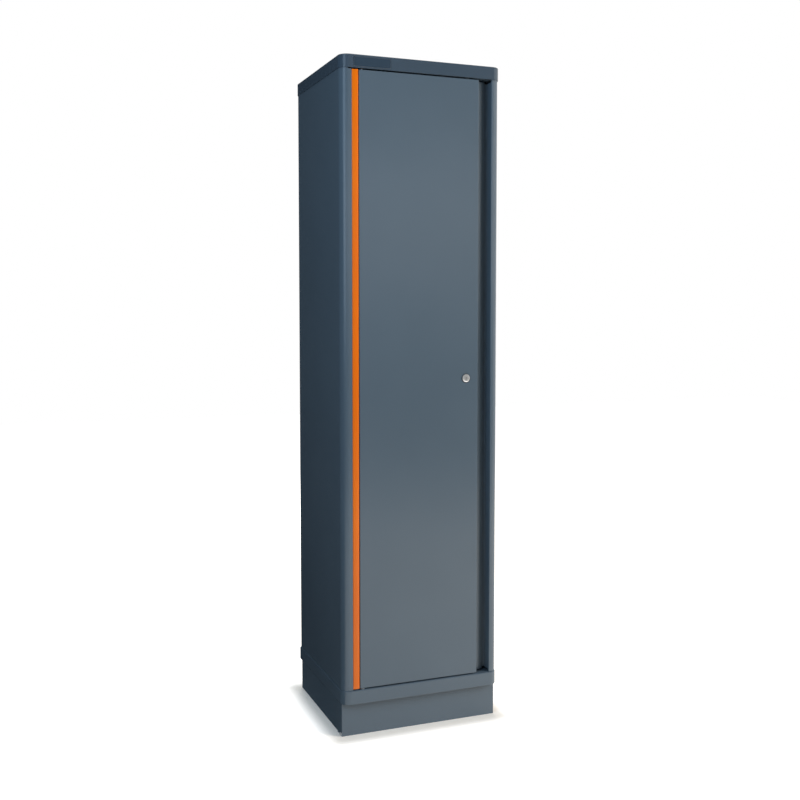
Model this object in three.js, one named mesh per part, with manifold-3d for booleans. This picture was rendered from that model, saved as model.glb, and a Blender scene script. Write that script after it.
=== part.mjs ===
// Tall side locker for a row of workshop chests. A folded sheet carcass stands on a plinth. Its one door
// has a finger pull along the whole right edge, a three-point key lock and turns on two hidden pivots.
// Millimetres, +Z up, the front faces -Y, origin on the floor under the middle of the locker.

import * as THREE from "three";
import { mergeVertices } from "three/addons/utils/BufferGeometryUtils.js";
import Module from "manifold-3d";

const wasm = await Module();
wasm.setup();

// Overall sizes
const WIDTH = 510;
const DEPTH = 455;
const HEIGHT = 2000;
const PLINTH_HEIGHT = 100;
const BASE_HEIGHT = 42;
const CAP_HEIGHT = 38;
const CAP_CORNER = 28;
const WALL_CORNER = 24;

// Sheets and folds
const CAP_SHEET = 1.5;
const WALL_SHEET = 1.2;
const DOOR_SHEET = 1.2;
const BACK_SHEET = 1;
const SHELF_SHEET = 1.2;
const UPRIGHT_SHEET = 1.5;
const PLINTH_SHEET = 1.5;
const FOLD = 1.6;
const EDGE = 2;
const GRIP = 0.75;

// Clearances
const TOUCH = 0.3;
const SHADOW_GAP = 4;
const SIDE_REVEAL = 2;
const FRONT_REVEAL = 4;
const REAR_REVEAL = 4;
const PIN_PLAY = 0.4;
const ROD_PLAY = 0.5;
const ROD_REST_GAP = 2.5;

// Plinth
const PLINTH_SETBACK = 22;
const PLINTH_INSET = 4;
const PLINTH_RETURN = 41;
const PLINTH_FLANGE = 25;
const TRAY_RETURN = 32;

// Walls and their posts
const HINGE_POST = 33;
const STRIP_WIDTH = 18;
const STRIP_DEPTH = 4;
const STRIP_CROWN = 0.8;
const PULL_POST = 28;
const STOP_DEPTH = 33;
const HINGE_STOP = 20;
const PULL_STOP = 26;
const STOP_HEM = 14;
const END_RELIEF = 7;
const REAR_FLANGE = 25;

// Back panel and ceiling
const BEAD_CENTRE = 120;
const BEAD_WIDTH = 30;
const BEAD_SLOPE = 6;
const BEAD_DEPTH = 4;
const CEILING_RISE = 0.5;
const CEILING_FLANGE = 22;

// Door
const DOOR_GAP = 3;
const DOOR_DEPTH = 22;
const DOOR_FLANGE = 18;
const PULL_MOUTH = 42;
const PULL_DEPTH = 27;
const LIP_OVERHANG = 12;
const LIP_THICKNESS = 7;
const CHANNEL_GAP = 11;
const CHANNEL_RETURN = 3.5;
const STIFFENER_CENTRE = -30;
const STIFFENER_WIDTH = 40;
const STIFFENER_LIP = 15;
const STIFFENER_DEPTH = 17;

// Door pivots
const PIVOT_IN = 10;
const PIVOT_BACK = 6;
const PIVOT_RADIUS = 2.5;
const BUSH_WALL = 1.2;
const BUSH_FLANGE = 1.2;
const BUSH_RISE = 3;
const PIN_HEAD = 4.5;
const PIN_HEAD_HEIGHT = 3;
const PIN_REACH = 14;

// Lock, measured from the door face at the lock's axis
const LOCK_HEIGHT = 1062;
const LOCK_INSET = 40;
const ESCUTCHEON_RADIUS = 14;
const ESCUTCHEON_THICKNESS = 1.2;
const LOCK_HEAD = 12;
const LOCK_HEAD_THICKNESS = 1.4;
const LOCK_SHANK = 9.6;
const LOCK_LENGTH = 20;
const BARREL_RADIUS = 6.4;
const KEY_WIDTH = 1.8;
const KEY_HEIGHT = 8;
const KEY_DEPTH = 8;
const TAIL = 5;
const NUT_FLATS = 26;
const NUT_THICKNESS = 5;
const CAM_START = 21;
const CAM_THICKNESS = 2.5;
const CAM_HUB = 10;
const CAM_LOBE = 6.5;
const STUD_ORBIT = 17;
const STUD_RADIUS = 2.5;
const STUD_PLAY = 0.9;
const STUD_PROUD = 4.5;
const ROD_THICKNESS = 3;
const ROD_WIDTH = 12;
const ROD_HEAD_WALL = 2.6;
const SPACER_WALL = 1.3;
const TONGUE_LENGTH = 66;
const TONGUE_WIDTH = 16;
const TONGUE_THICKNESS = 2.5;
const TONGUE_GAP = 1.8;
const SCREW_HEAD = 6;
const SCREW_HEAD_HEIGHT = 3;
const SCREW_RADIUS = 1.6;
const SCREW_LENGTH = 7;
const GUIDE_NEAR = 150;
const GUIDE_END = 98;
const GUIDE_LENGTH = 20;
const GUIDE_FOOT = 12;
const GUIDE_SHEET = 1.2;

// Door catches
const MAGNET_WIDTH = 10;
const MAGNET_HEIGHT = 45;
const MAGNET_END = 260;
const BUFFER_RADIUS = 5;
const BUFFER_END = 150;

// Shelves
const UPRIGHT_WIDTH = 30;
const UPRIGHT_DEPTH = 12;
const UPRIGHT_FROM_FRONT = 74;
const UPRIGHT_FROM_REAR = 34;
const SLOT_WIDTH = 12;
const SLOT_HEIGHT = 6;
const SLOT_PITCH = 50;
const SLOT_START = 58;
const SHELF_SLOTS = [5, 12, 19, 26];
const SHELF_HEIGHT = 30;
const SHELF_RETURN = 12;
const SHELF_SIDE_GAP = 1;
const SHELF_FRONT_GAP = 3.5;
const SHELF_REAR_GAP = 2.5;
const CLIP_WIDTH = 10;
const CLIP_SHEET = 2;
const CLIP_LEDGE = 14;
const CLIP_DROP = 12;
const CLIP_HOOK = 5.5;

// Planes and positions shared by neighbours
const WALL_X = WIDTH / 2 - SIDE_REVEAL;
const CAP_FRONT = -DEPTH / 2;
const CAP_BACK = DEPTH / 2;
const FACE_Y = CAP_FRONT + FRONT_REVEAL;
const REAR_Y = CAP_BACK - REAR_REVEAL;
const DECK_Z = PLINTH_HEIGHT + BASE_HEIGHT;
const CAP_Z = HEIGHT - CAP_HEIGHT;
const CEILING_Z = CAP_Z + CEILING_RISE;
const WALL_BOTTOM = DECK_Z + TOUCH;
const WALL_TOP = HEIGHT - CAP_SHEET - TOUCH;
const DOOR_BOTTOM = DECK_Z + SHADOW_GAP;
const DOOR_TOP = CAP_Z - SHADOW_GAP;
const STRIP_LEFT = -WALL_X + HINGE_POST + TOUCH;
const STRIP_RIGHT = STRIP_LEFT + STRIP_WIDTH;
const PULL_WALL = WALL_X - PULL_POST;
const STOP_Y = FACE_Y + STOP_DEPTH;
const HEM_END = STOP_Y + STOP_HEM;
const PULL_HEM_X = PULL_WALL + WALL_SHEET / 2 - PULL_STOP;
const DOOR_LEFT = STRIP_RIGHT + DOOR_GAP;
const DOOR_LIP = PULL_WALL - PULL_MOUTH;
const CHANNEL_X = DOOR_LIP - LIP_OVERHANG;
const DOOR_END = PULL_WALL - CHANNEL_GAP;
const PIVOT_X = DOOR_LEFT + PIVOT_IN;
const PIVOT_Y = FACE_Y + PIVOT_BACK;
const BUSH_BORE = PIVOT_RADIUS + PIN_PLAY;
const BUSH_RADIUS = BUSH_BORE + BUSH_WALL;
const BUSH_HOLE = BUSH_RADIUS + TOUCH;
const LOCK_X = DOOR_LIP - LOCK_INSET;
const ROD_START = CAM_START + CAM_THICKNESS + ROD_PLAY;
const ROD_END = ROD_START + ROD_THICKNESS;
const STUD_REACH = STUD_ORBIT * Math.SQRT1_2;
const STUD_SLOT = STUD_RADIUS + STUD_PLAY;
const ROD_NEAR = STUD_REACH - STUD_SLOT;
const ROD_FAR = STUD_ORBIT + STUD_SLOT;
const ROD_LEFT = (ROD_NEAR + ROD_FAR - ROD_WIDTH) / 2;
const TONGUE_START = STOP_DEPTH + WALL_SHEET + TONGUE_GAP;
const TAIL_END = TONGUE_START + TONGUE_THICKNESS - TOUCH;
const UPRIGHT_X = WALL_X - WALL_SHEET - TOUCH - UPRIGHT_DEPTH;
const FRONT_UPRIGHT_Y = FACE_Y + UPRIGHT_FROM_FRONT;
const REAR_UPRIGHT_Y = REAR_Y - UPRIGHT_FROM_REAR;
const SHELF_X = UPRIGHT_X - SHELF_SIDE_GAP;
const SHELF_FRONT = HEM_END + SHELF_FRONT_GAP;
const SHELF_BACK = REAR_Y - BEAD_DEPTH - SHELF_REAR_GAP;

// Finishes
const finish = (colour, roughness, metalness) =>
  new THREE.MeshStandardMaterial({ color: colour, roughness, metalness });
const GREY_PAINT = finish(0x5c6974, 0.45, 0.1);
const ORANGE_PAINT = finish(0xe67311, 0.4, 0);
const ZINC = finish(0xb4b8ba, 0.4, 0.9);
const CHROME = finish(0xd6d8da, 0.15, 1);
const BLACK_PLASTIC = finish(0x1a1b1d, 0.5, 0);
const NYLON = finish(0x2b2c2e, 0.5, 0);
const RUBBER = finish(0x202124, 0.8, 0);

// Solids
function solid(geometry) {
  const bare = new THREE.BufferGeometry();
  bare.setAttribute("position", geometry.getAttribute("position"));
  if (geometry.index) bare.setIndex(geometry.index);
  const merged = mergeVertices(bare, 1e-4);
  return new wasm.Manifold(
    new wasm.Mesh({
      numProp: 3,
      vertProperties: new Float32Array(merged.getAttribute("position").array),
      triVerts: new Uint32Array(merged.index.array),
    })
  );
}

function join(first, ...others) {
  return others.reduce((whole, piece) => whole.add(piece), first);
}

function cut(whole, ...tools) {
  return tools.reduce((left, tool) => left.subtract(tool), whole);
}

function block(x0, x1, y0, y1, z0, z1) {
  const geometry = new THREE.BoxGeometry(x1 - x0, y1 - y0, z1 - z0);
  geometry.translate((x0 + x1) / 2, (y0 + y1) / 2, (z0 + z1) / 2);
  return solid(geometry);
}

function polygon(points) {
  return new THREE.Shape(points.map(([x, y]) => new THREE.Vector2(x, y)));
}

function rectangle(x0, x1, y0, y1) {
  return polygon([[x0, y0], [x1, y0], [x1, y1], [x0, y1]]);
}

function disc(x, y, radius) {
  const shape = new THREE.Shape();
  shape.absarc(x, y, radius, 0, 2 * Math.PI, false);
  return shape;
}

// An outline in X and Y swept along Z
function sweepZ(shape, z0, z1, curveSegments = 4) {
  const geometry = new THREE.ExtrudeGeometry(shape, { depth: z1 - z0, bevelEnabled: false, curveSegments });
  return solid(geometry.translate(0, 0, z0));
}

// An outline in Y and Z swept along X
function sweepX(shape, x0, x1) {
  const geometry = new THREE.ExtrudeGeometry(shape, { depth: x1 - x0, bevelEnabled: false });
  const turn = new THREE.Matrix4().makeBasis(
    new THREE.Vector3(0, 1, 0),
    new THREE.Vector3(0, 0, 1),
    new THREE.Vector3(1, 0, 0)
  );
  return solid(geometry.applyMatrix4(turn).translate(x0, 0, 0));
}

// An outline in X and Z swept along Y
function sweepY(shape, y0, y1, curveSegments = 6) {
  const geometry = new THREE.ExtrudeGeometry(shape, { depth: y1 - y0, bevelEnabled: false, curveSegments });
  return solid(geometry.rotateX(Math.PI / 2).translate(0, y1, 0));
}

// A plate whose top and bottom edges are rounded by the fold
function softSweepZ(shape, z0, z1, edge) {
  const geometry = new THREE.ExtrudeGeometry(shape, {
    depth: z1 - z0 - 2 * edge,
    bevelThickness: edge,
    bevelSize: edge,
    bevelOffset: -edge,
    bevelSegments: 2,
    curveSegments: 4,
  });
  return solid(geometry.translate(0, 0, z0 + edge));
}

// A turned piece, its outline given as radius and height, going up the outside
function turned(outline, segments = 24) {
  const points = outline.map(([radius, height]) => new THREE.Vector2(radius, height));
  return solid(new THREE.LatheGeometry(points, segments));
}

function tube(inner, outer, low, high, segments = 24) {
  return turned([[inner, low], [outer, low], [outer, high], [inner, high], [inner, low]], segments);
}

function rod(radius, low, high, segments = 24) {
  return turned([[0, low], [radius, low], [radius, high], [0, high]], segments);
}

function upright(body) {
  return body.rotate([90, 0, 0]);
}

// The outline of a sheet that follows a path of [x, y, fold radius] points at the middle of its thickness
function foldedSheet(path, thickness) {
  const half = thickness / 2;
  const points = path.map(([x, y]) => new THREE.Vector2(x, y));
  const left = [];
  const right = [];
  const add = (middle, normal) => {
    left.push(middle.clone().addScaledVector(normal, half));
    right.push(middle.clone().addScaledVector(normal, -half));
  };
  points.forEach((point, i) => {
    const into = i > 0 ? point.clone().sub(points[i - 1]).normalize() : null;
    const out = i < points.length - 1 ? points[i + 1].clone().sub(point).normalize() : null;
    const run = into ?? out;
    const normal = new THREE.Vector2(-run.y, run.x);
    if (!into || !out) {
      add(point, normal);
      return;
    }
    const radius = path[i][2];
    const angle = Math.atan2(into.cross(out), into.dot(out));
    const side = Math.sign(angle);
    const start = point.clone().addScaledVector(into, -radius * Math.tan(Math.abs(angle) / 2));
    const centre = start.clone().addScaledVector(normal, radius * side);
    const segments = Math.max(2, Math.round(Math.abs(angle) * Math.sqrt(radius)));
    for (let k = 0; k <= segments; k += 1) {
      const middle = start.clone().rotateAround(centre, (angle * k) / segments);
      add(middle, centre.clone().sub(middle).normalize().multiplyScalar(side));
    }
  });
  return new THREE.Shape([...left, ...right.reverse()]);
}

function roundedFront(halfWidth, front, back, radius) {
  const shape = new THREE.Shape();
  shape.moveTo(-halfWidth, back);
  shape.lineTo(-halfWidth, front + radius);
  shape.absarc(-halfWidth + radius, front + radius, radius, Math.PI, 1.5 * Math.PI, false);
  shape.lineTo(halfWidth - radius, front);
  shape.absarc(halfWidth - radius, front + radius, radius, 1.5 * Math.PI, 2 * Math.PI, false);
  shape.lineTo(halfWidth, back);
  return shape;
}

function insetFront(inset) {
  const corner = Math.max(CAP_CORNER - inset, FOLD);
  return roundedFront(WIDTH / 2 - inset, CAP_FRONT + inset, CAP_BACK - inset, corner);
}

// Cap and base tray
function topCap() {
  const lid = softSweepZ(insetFront(0), CAP_Z - 2 * EDGE, HEIGHT, EDGE);
  const below = block(-WIDTH, WIDTH, -DEPTH, DEPTH, CAP_Z - CAP_HEIGHT, CAP_Z);
  const hollow = sweepZ(insetFront(CAP_SHEET), CAP_Z - EDGE, HEIGHT - CAP_SHEET);
  return cut(lid, below, hollow);
}

function rodHole(side, z0, z1) {
  const near = LOCK_X + side * (ROD_LEFT - 2 * ROD_PLAY);
  const far = LOCK_X + side * (ROD_LEFT + ROD_WIDTH + 2 * ROD_PLAY);
  const front = FACE_Y + ROD_START - 2 * ROD_PLAY;
  const back = FACE_Y + ROD_END + 2 * ROD_PLAY;
  return block(Math.min(near, far), Math.max(near, far), front, back, z0, z1);
}

function baseTray() {
  const tray = softSweepZ(insetFront(0), PLINTH_HEIGHT, DECK_Z, EDGE);
  const hollow = sweepZ(insetFront(CAP_SHEET), PLINTH_HEIGHT + CAP_SHEET, DECK_Z - CAP_SHEET);
  const opening = sweepZ(insetFront(TRAY_RETURN), PLINTH_HEIGHT - EDGE, PLINTH_HEIGHT + 2 * CAP_SHEET);
  return cut(tray, hollow, opening, rodHole(-1, DECK_Z - 2 * CAP_SHEET, DECK_Z + EDGE));
}

// Plinth
const PLINTH_X = WIDTH / 2 - PLINTH_INSET;
const PLINTH_FRONT = CAP_FRONT + PLINTH_SETBACK;
const PLINTH_TOP = PLINTH_HEIGHT - TOUCH;
const SIDE_BOARD_X = PLINTH_X - PLINTH_SHEET - TOUCH;
const PLINTH_REAR = CAP_BACK - SIDE_REVEAL;

function plinthFront() {
  const x = PLINTH_X - PLINTH_SHEET / 2;
  const y = PLINTH_FRONT + PLINTH_SHEET / 2;
  const end = PLINTH_FRONT + PLINTH_RETURN;
  const path = [[-x, end], [-x, y, FOLD], [x, y, FOLD], [x, end]];
  const grip = GRIP * PLINTH_SHEET;
  const side = PLINTH_X - grip;
  const back = PLINTH_FRONT + PLINTH_FLANGE;
  const flange = (z) => block(-side, side, PLINTH_FRONT + grip, back, z, z + PLINTH_SHEET);
  return join(
    sweepZ(foldedSheet(path, PLINTH_SHEET), 0, PLINTH_TOP),
    flange(0),
    flange(PLINTH_TOP - PLINTH_SHEET)
  );
}

function plinthSide(side) {
  const half = PLINTH_SHEET / 2;
  const out = side * (SIDE_BOARD_X - half);
  const inner = side * (SIDE_BOARD_X - PLINTH_FLANGE);
  const path = [[inner, PLINTH_TOP - half], [out, PLINTH_TOP - half, FOLD], [out, half, FOLD], [inner, half]];
  const start = PLINTH_FRONT + PLINTH_FLANGE + TOUCH;
  return sweepY(foldedSheet(path, PLINTH_SHEET), start, PLINTH_REAR);
}

function plinthBack() {
  const x = SIDE_BOARD_X - PLINTH_SHEET - TOUCH;
  const flangeX = SIDE_BOARD_X - PLINTH_FLANGE - TOUCH;
  const y = PLINTH_REAR - PLINTH_SHEET;
  const low = PLINTH_SHEET + TOUCH;
  const high = PLINTH_TOP - PLINTH_SHEET - TOUCH;
  const flange = (z) => block(-flangeX, flangeX, PLINTH_REAR - PLINTH_FLANGE, PLINTH_REAR, z, z + PLINTH_SHEET);
  return join(
    block(-x, x, y, PLINTH_REAR, low, high),
    block(-flangeX, flangeX, y, PLINTH_REAR, 0, PLINTH_TOP),
    flange(0),
    flange(PLINTH_TOP - PLINTH_SHEET)
  );
}

// Walls
function endRelief(x0, x1) {
  const front = FACE_Y + END_RELIEF;
  return [
    block(x0, x1, front, HEM_END + EDGE, WALL_BOTTOM - EDGE, DECK_Z + END_RELIEF),
    block(x0, x1, front, HEM_END + EDGE, CAP_Z - END_RELIEF, WALL_TOP + EDGE),
  ];
}

function leftWall() {
  const half = WALL_SHEET / 2;
  const out = -WALL_X + half;
  const groove = STRIP_LEFT - TOUCH - half;
  const floor = FACE_Y + STRIP_DEPTH + TOUCH + half;
  const inner = STRIP_RIGHT - half;
  const path = [
    [out + REAR_FLANGE, REAR_Y - half],
    [out, REAR_Y - half, FOLD],
    [out, FACE_Y + half, WALL_CORNER - half],
    [groove, FACE_Y + half, FOLD],
    [groove, floor, FOLD],
    [inner, floor, FOLD],
    [inner, STOP_Y + half, FOLD],
    [inner + HINGE_STOP, STOP_Y + half, FOLD],
    [inner + HINGE_STOP, HEM_END],
  ];
  const sheet = sweepZ(foldedSheet(path, WALL_SHEET), WALL_BOTTOM, WALL_TOP);
  return cut(sheet, ...endRelief(groove + WALL_SHEET, DOOR_LEFT + HINGE_STOP));
}

function rightWall() {
  const half = WALL_SHEET / 2;
  const out = WALL_X - half;
  const inner = PULL_WALL + half;
  const path = [
    [out - REAR_FLANGE, REAR_Y - half],
    [out, REAR_Y - half, FOLD],
    [out, FACE_Y + half, WALL_CORNER - half],
    [inner, FACE_Y + half, FOLD],
    [inner, STOP_Y + half, FOLD],
    [PULL_HEM_X, STOP_Y + half, FOLD],
    [PULL_HEM_X, HEM_END],
  ];
  const sheet = sweepZ(foldedSheet(path, WALL_SHEET), WALL_BOTTOM, WALL_TOP);
  const reach = Math.sqrt(TONGUE_LENGTH ** 2 - (PULL_HEM_X - LOCK_X) ** 2);
  const strike = block(
    PULL_HEM_X - EDGE,
    PULL_HEM_X + EDGE,
    FACE_Y + TONGUE_START - TONGUE_GAP / 2,
    FACE_Y + TONGUE_START + TONGUE_THICKNESS + TONGUE_GAP,
    LOCK_HEIGHT - reach - TONGUE_WIDTH / 2,
    LOCK_HEIGHT + TONGUE_WIDTH
  );
  return cut(sheet, strike, ...endRelief(PULL_HEM_X - EDGE, PULL_WALL + 2 * WALL_SHEET));
}

function backPanel() {
  const y = REAR_Y + TOUCH + BACK_SHEET / 2;
  const edge = WALL_X - EDGE - FOLD;
  const bead = (centre) => [
    [centre - BEAD_WIDTH / 2, y, FOLD],
    [centre - BEAD_WIDTH / 2 + BEAD_SLOPE, y - BEAD_DEPTH, FOLD],
    [centre + BEAD_WIDTH / 2 - BEAD_SLOPE, y - BEAD_DEPTH, FOLD],
    [centre + BEAD_WIDTH / 2, y, FOLD],
  ];
  const path = [[-edge, y], ...bead(-BEAD_CENTRE), ...bead(BEAD_CENTRE), [edge, y]];
  return sweepZ(foldedSheet(path, BACK_SHEET), WALL_BOTTOM, WALL_TOP - EDGE);
}

function ceilingPanel() {
  const front = FACE_Y - 1;
  const left = STRIP_RIGHT + TOUCH;
  const right = PULL_WALL - TOUCH;
  const shoulder = FACE_Y + STOP_DEPTH;
  const side = WALL_X - WALL_SHEET - TOUCH;
  const back = REAR_Y - Math.max(BEAD_DEPTH, WALL_SHEET + TOUCH);
  const outline = polygon([
    [left, front],
    [right, front],
    [right, shoulder],
    [side, shoulder],
    [side, back],
    [-side, back],
    [-side, shoulder],
    [left, shoulder],
  ]);
  const rise = CEILING_Z + CEILING_FLANGE;
  return cut(
    join(
      sweepZ(outline, CEILING_Z, CEILING_Z + WALL_SHEET),
      block(left, right, front, front + WALL_SHEET, CEILING_Z, rise),
      block(-side, -side + WALL_SHEET, shoulder, back, CEILING_Z, rise),
      block(side - WALL_SHEET, side, shoulder, back, CEILING_Z, rise)
    ),
    sweepZ(disc(PIVOT_X, PIVOT_Y, BUSH_HOLE), CEILING_Z - 1, CEILING_Z + EDGE, 6),
    rodHole(1, CEILING_Z - 1, CEILING_Z + EDGE)
  );
}

function trimStrip() {
  const shape = new THREE.Shape();
  shape.moveTo(STRIP_LEFT, FACE_Y + STRIP_DEPTH);
  shape.lineTo(STRIP_LEFT, FACE_Y + STRIP_CROWN);
  shape.quadraticCurveTo(
    (STRIP_LEFT + STRIP_RIGHT) / 2,
    FACE_Y - STRIP_CROWN,
    STRIP_RIGHT,
    FACE_Y + STRIP_CROWN
  );
  shape.lineTo(STRIP_RIGHT, FACE_Y + STRIP_DEPTH);
  return sweepZ(shape, DOOR_BOTTOM, DOOR_TOP, 6);
}

// Door
function doorSkin() {
  const half = DOOR_SHEET / 2;
  const rear = FACE_Y + DOOR_DEPTH - half;
  const face = FACE_Y + half;
  const lip = FACE_Y + LIP_THICKNESS - half;
  const floor = FACE_Y + PULL_DEPTH + half;
  const path = [
    [DOOR_LEFT + DOOR_FLANGE, rear],
    [DOOR_LEFT + half, rear, FOLD],
    [DOOR_LEFT + half, face, FOLD],
    [DOOR_LIP - half, face, FOLD],
    [DOOR_LIP - half, lip, FOLD],
    [CHANNEL_X, lip, FOLD],
    [CHANNEL_X, floor, FOLD],
    [DOOR_END - half, floor, FOLD],
    [DOOR_END - half, floor + CHANNEL_RETURN],
  ];
  const grip = GRIP * DOOR_SHEET;
  const endBack = FACE_Y + DOOR_DEPTH - grip;
  const endRight = CHANNEL_X - 2 * DOOR_SHEET;
  const ends = [DOOR_BOTTOM + TOUCH, DOOR_TOP - TOUCH - DOOR_SHEET].map((z) =>
    block(DOOR_LEFT + grip, endRight, FACE_Y + grip, endBack, z, z + DOOR_SHEET)
  );
  const skin = join(sweepZ(foldedSheet(path, DOOR_SHEET), DOOR_BOTTOM, DOOR_TOP), ...ends);
  const hole = (radius, z) => sweepZ(disc(PIVOT_X, PIVOT_Y, radius), z - EDGE, z + EDGE, 6);
  return cut(
    skin,
    hole(BUSH_HOLE, DOOR_BOTTOM),
    hole(PIVOT_RADIUS + TOUCH, DOOR_TOP),
    sweepY(disc(LOCK_X, LOCK_HEIGHT, LOCK_SHANK + TOUCH), FACE_Y - EDGE, FACE_Y + EDGE, 16)
  );
}

function doorStiffener() {
  const half = DOOR_SHEET / 2;
  const base = FACE_Y + DOOR_SHEET + TOUCH + half;
  const crest = FACE_Y + STIFFENER_DEPTH;
  const left = STIFFENER_CENTRE - STIFFENER_WIDTH / 2;
  const right = STIFFENER_CENTRE + STIFFENER_WIDTH / 2;
  const path = [
    [left - STIFFENER_LIP, base],
    [left, base, FOLD],
    [left, crest, FOLD],
    [right, crest, FOLD],
    [right, base, FOLD],
    [right + STIFFENER_LIP, base],
  ];
  const end = DOOR_SHEET + 2 * TOUCH;
  return sweepZ(foldedSheet(path, DOOR_SHEET), DOOR_BOTTOM + end, DOOR_TOP - end);
}

// Pivots, drawn about their axis with the joint face of the sheet at height zero
function pivotBush(sheet) {
  const outline = [
    [BUSH_BORE, -TOUCH - BUSH_FLANGE],
    [BUSH_RADIUS + BUSH_FLANGE, -TOUCH - BUSH_FLANGE],
    [BUSH_RADIUS + BUSH_FLANGE, -TOUCH],
    [BUSH_RADIUS, -TOUCH],
    [BUSH_RADIUS, sheet + BUSH_RISE],
    [BUSH_BORE, sheet + BUSH_RISE],
    [BUSH_BORE, -TOUCH - BUSH_FLANGE],
  ];
  return upright(turned(outline));
}

function upperPin() {
  const seat = -DOOR_SHEET - TOUCH;
  const outline = [
    [0, seat - PIN_HEAD_HEIGHT],
    [PIN_HEAD, seat - PIN_HEAD_HEIGHT],
    [PIN_HEAD, seat],
    [PIVOT_RADIUS, seat],
    [PIVOT_RADIUS, PIN_REACH],
    [0, PIN_REACH],
  ];
  return upright(turned(outline));
}

function lowerPin() {
  const seat = SHADOW_GAP - TOUCH - BUSH_FLANGE;
  const outline = [
    [0, TOUCH],
    [BUSH_RADIUS + BUSH_FLANGE, TOUCH],
    [BUSH_RADIUS + BUSH_FLANGE, seat],
    [PIVOT_RADIUS, seat],
    [PIVOT_RADIUS, SHADOW_GAP + PIN_REACH],
    [0, SHADOW_GAP + PIN_REACH],
  ];
  return upright(turned(outline));
}

// Lock, drawn about its own axis: X right, Y into the locker, Z up, the door face at Y zero
const LOCK_FRONT = -2 * TOUCH - ESCUTCHEON_THICKNESS - LOCK_HEAD_THICKNESS;
const TAIL_HOLE = TAIL / 2 + TOUCH;
const SPACER_BORE = TAIL * Math.SQRT1_2 + TOUCH;

function tailHole(y0, y1) {
  return block(-TAIL_HOLE, TAIL_HOLE, y0, y1, -TAIL_HOLE, TAIL_HOLE);
}

function escutcheon() {
  return tube(LOCK_SHANK + 2 * TOUCH, ESCUTCHEON_RADIUS, -TOUCH - ESCUTCHEON_THICKNESS, -TOUCH, 32);
}

function lockBody() {
  const seat = LOCK_FRONT + LOCK_HEAD_THICKNESS;
  const bore = BARREL_RADIUS + TOUCH;
  const bevel = LOCK_HEAD_THICKNESS / 2;
  const outline = [
    [bore, LOCK_FRONT],
    [LOCK_HEAD - bevel, LOCK_FRONT],
    [LOCK_HEAD, LOCK_FRONT + bevel],
    [LOCK_HEAD, seat],
    [LOCK_SHANK, seat],
    [LOCK_SHANK, LOCK_LENGTH],
    [bore, LOCK_LENGTH],
    [bore, LOCK_FRONT],
  ];
  return turned(outline, 32);
}

function lockNut() {
  const start = DOOR_SHEET + TOUCH;
  const hexagon = turned(
    [
      [0, start],
      [NUT_FLATS / Math.sqrt(3), start],
      [NUT_FLATS / Math.sqrt(3), start + NUT_THICKNESS],
      [0, start + NUT_THICKNESS],
    ],
    6
  );
  return cut(hexagon, rod(LOCK_SHANK + TOUCH, 0, start + NUT_THICKNESS + EDGE));
}

function lockBarrel() {
  const front = LOCK_FRONT + TOUCH;
  const shoulder = LOCK_LENGTH + TOUCH;
  const half = TAIL / 2;
  return cut(
    join(rod(BARREL_RADIUS, front, shoulder), block(-half, half, shoulder - 1, TAIL_END, -half, half)),
    block(
      -KEY_WIDTH / 2,
      KEY_WIDTH / 2,
      front - EDGE,
      front + KEY_DEPTH,
      -KEY_HEIGHT / 2,
      KEY_HEIGHT / 2
    ),
    rod(SCREW_RADIUS + TOUCH, TAIL_END - SCREW_LENGTH - EDGE, TAIL_END + EDGE, 16)
  );
}

function lockCam() {
  const end = CAM_START + CAM_THICKNESS;
  const stud = (x, z) => sweepY(disc(x, z, STUD_RADIUS), end - 1, end + STUD_PROUD, 4);
  const lobe = (x, z) => sweepY(disc(x, z, CAM_LOBE), CAM_START, end, 4);
  const link = sweepY(rectangle(-STUD_ORBIT, STUD_ORBIT, -CAM_LOBE, CAM_LOBE), CAM_START, end);
  return cut(
    join(
      sweepY(disc(0, 0, CAM_HUB), CAM_START, end, 8),
      link.rotate([0, 45, 0]),
      lobe(STUD_REACH, -STUD_REACH),
      lobe(-STUD_REACH, STUD_REACH),
      stud(STUD_REACH, -STUD_REACH),
      stud(-STUD_REACH, STUD_REACH)
    ),
    tailHole(CAM_START - 1, end + 1)
  );
}

function lockSpacer() {
  const start = CAM_START + CAM_THICKNESS + TOUCH;
  return tube(SPACER_BORE, SPACER_BORE + SPACER_WALL, start, TONGUE_START - TOUCH);
}

function lockTongue() {
  const half = TONGUE_WIDTH / 2;
  const shape = new THREE.Shape();
  shape.absarc(0, 0, half, 0, Math.PI, false);
  shape.lineTo(-half, -TONGUE_LENGTH + half);
  shape.absarc(0, -TONGUE_LENGTH + half, half, Math.PI, 2 * Math.PI, false);
  const end = TONGUE_START + TONGUE_THICKNESS;
  return cut(sweepY(shape, TONGUE_START, end), tailHole(TONGUE_START - 1, end + 1));
}

function lockScrew() {
  const seat = TONGUE_START + TONGUE_THICKNESS + TOUCH;
  const outline = [
    [0, seat - SCREW_LENGTH],
    [SCREW_RADIUS, seat - SCREW_LENGTH],
    [SCREW_RADIUS, seat],
    [SCREW_HEAD, seat],
    [SCREW_HEAD, seat + SCREW_HEAD_HEIGHT / 2],
    [SCREW_HEAD / 2, seat + SCREW_HEAD_HEIGHT],
    [0, seat + SCREW_HEAD_HEIGHT],
  ];
  return turned(outline);
}

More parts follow.
